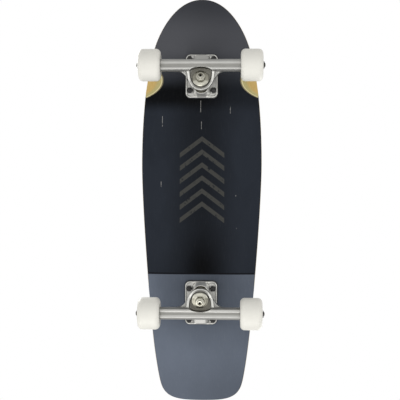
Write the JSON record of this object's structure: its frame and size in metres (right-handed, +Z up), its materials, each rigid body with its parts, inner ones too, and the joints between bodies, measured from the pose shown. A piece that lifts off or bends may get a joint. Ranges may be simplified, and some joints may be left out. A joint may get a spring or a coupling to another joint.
{
  "type": "longboard skateboard",
  "caption": "Longboard skateboard: a pressed wooden deck with a kicked tail on cast kingpin trucks that steer, with urethane wheels that turn on bearings.",
  "frame": {"origin": "on the ground under the middle of the deck", "axes": "+X towards the nose, +Y to the rider's left looking at the nose, +Z up from the wheels to the deck"},
  "size_m": [0.7102, 0.2174, 0.1182],
  "materials": {
    "painted_maple": "black and grey paint, satin",
    "grip": "abrasive, matte",
    "riser_rubber": "matte",
    "cast_aluminium": "raw cast, satin",
    "zinc_steel": "zinc plated",
    "black_steel": "black oxide",
    "bushing_urethane": "satin",
    "pivot_cup_urethane": "satin",
    "wheel_urethane": "smooth, satin"
  },
  "bodies": {
    "board": {"deck": "painted_maple", "front_baseplate": "cast_aluminium", "front_bolt_1": "black_steel", "front_bolt_2": "black_steel", "front_bolt_3": "black_steel", "front_bolt_4": "black_steel", "front_kingpin": "zinc_steel", "front_kingpin_nut": "zinc_steel", "front_lock_nut_1": "black_steel", "front_lock_nut_2": "black_steel", "front_lock_nut_3": "black_steel", "front_lock_nut_4": "black_steel", "front_lower_bushing": "bushing_urethane", "front_lower_washer": "zinc_steel", "front_pivot_cup": "pivot_cup_urethane", "front_riser_pad": "riser_rubber", "front_upper_bushing": "bushing_urethane", "front_upper_washer": "zinc_steel", "grip_tape": "grip", "rear_baseplate": "cast_aluminium", "rear_bolt_1": "black_steel", "rear_bolt_2": "black_steel", "rear_bolt_3": "black_steel", "rear_bolt_4": "black_steel", "rear_kingpin": "zinc_steel", "rear_kingpin_nut": "zinc_steel", "rear_lock_nut_1": "black_steel", "rear_lock_nut_2": "black_steel", "rear_lock_nut_3": "black_steel", "rear_lock_nut_4": "black_steel", "rear_lower_bushing": "bushing_urethane", "rear_lower_washer": "zinc_steel", "rear_pivot_cup": "pivot_cup_urethane", "rear_riser_pad": "riser_rubber", "rear_upper_bushing": "bushing_urethane", "rear_upper_washer": "zinc_steel"},
    "front_hanger_body": {"front_hanger": "cast_aluminium", "front_axle": "zinc_steel", "front_left_axle_nut": "black_steel", "front_right_axle_nut": "black_steel"},
    "front_left_wheel_body": {"front_left_wheel": "wheel_urethane", "front_left_inner_bearing": "zinc_steel", "front_left_outer_bearing": "zinc_steel", "front_left_bearing_spacer": "zinc_steel"},
    "front_right_wheel_body": {"front_right_wheel": "wheel_urethane", "front_right_inner_bearing": "zinc_steel", "front_right_outer_bearing": "zinc_steel", "front_right_bearing_spacer": "zinc_steel"},
    "rear_hanger_body": {"rear_hanger": "cast_aluminium", "rear_axle": "zinc_steel", "rear_left_axle_nut": "black_steel", "rear_right_axle_nut": "black_steel"},
    "rear_left_wheel_body": {"rear_left_wheel": "wheel_urethane", "rear_left_inner_bearing": "zinc_steel", "rear_left_outer_bearing": "zinc_steel", "rear_left_bearing_spacer": "zinc_steel"},
    "rear_right_wheel_body": {"rear_right_wheel": "wheel_urethane", "rear_right_inner_bearing": "zinc_steel", "rear_right_outer_bearing": "zinc_steel", "rear_right_bearing_spacer": "zinc_steel"}
  },
  "joints": [
    {"name": "front_truck_steer", "type": "hinge", "parent": "board", "child": "front_hanger_body", "pos_m": [0.2026, 0, 0.0371], "axis": [0.866, 0, 0.5], "range_deg": [-15, 15], "stiffness_Nm_per_rad": 60, "deforming": ["front_upper_bushing", "front_lower_bushing"]},
    {"name": "front_left_wheel_spin", "type": "hinge", "parent": "front_hanger_body", "child": "front_left_wheel_body", "pos_m": [0.23, 0.0862, 0.0271], "axis": [0, 1, 0], "continuous": true},
    {"name": "front_right_wheel_spin", "type": "hinge", "parent": "front_hanger_body", "child": "front_right_wheel_body", "pos_m": [0.23, -0.0862, 0.0271], "axis": [0, 1, 0], "continuous": true},
    {"name": "rear_truck_steer", "type": "hinge", "parent": "board", "child": "rear_hanger_body", "pos_m": [-0.1614, 0, 0.0371], "axis": [-0.866, 0, 0.5], "range_deg": [-15, 15], "stiffness_Nm_per_rad": 60, "deforming": ["rear_upper_bushing", "rear_lower_bushing"]},
    {"name": "rear_left_wheel_spin", "type": "hinge", "parent": "rear_hanger_body", "child": "rear_left_wheel_body", "pos_m": [-0.1888, 0.0862, 0.0271], "axis": [0, 1, 0], "continuous": true},
    {"name": "rear_right_wheel_spin", "type": "hinge", "parent": "rear_hanger_body", "child": "rear_right_wheel_body", "pos_m": [-0.1888, -0.0862, 0.0271], "axis": [0, 1, 0], "continuous": true}
  ]
}
